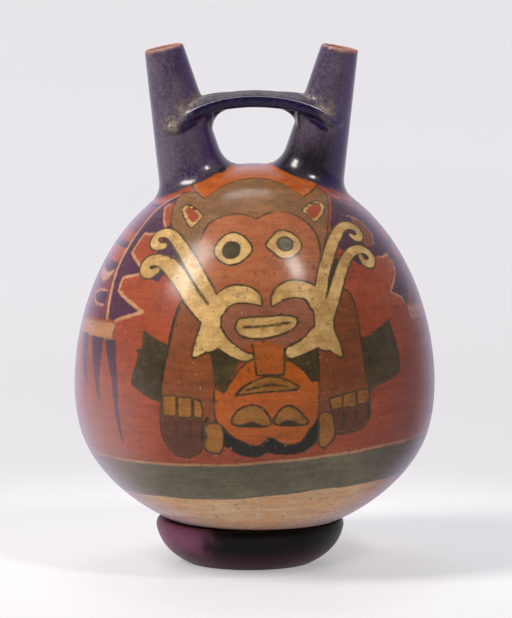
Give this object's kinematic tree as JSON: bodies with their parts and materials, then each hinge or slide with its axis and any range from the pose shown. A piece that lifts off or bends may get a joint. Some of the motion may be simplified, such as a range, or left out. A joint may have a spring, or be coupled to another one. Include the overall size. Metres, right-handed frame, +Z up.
{
  "type": "double-spout-and-bridge bottle",
  "caption": "Round-bottomed painted clay bottle with leaning spouts joined by a strap bridge, resting upright in a dark cupped ring.",
  "frame": {"origin": "on the floor, at the middle of the footprint of the body, straight under the body axis", "axes": "+Z up along the body axis, the painted front faces -Y, the spouts stand to either side along X"},
  "size_m": [0.1504, 0.1504, 0.2168],
  "materials": {
    "painted_clay": "burnished painted slip, semi-gloss",
    "ring": "smooth satin"
  },
  "bodies": {
    "root": {"vessel": "painted_clay", "support_ring": "ring"}
  },
  "joints": []
}
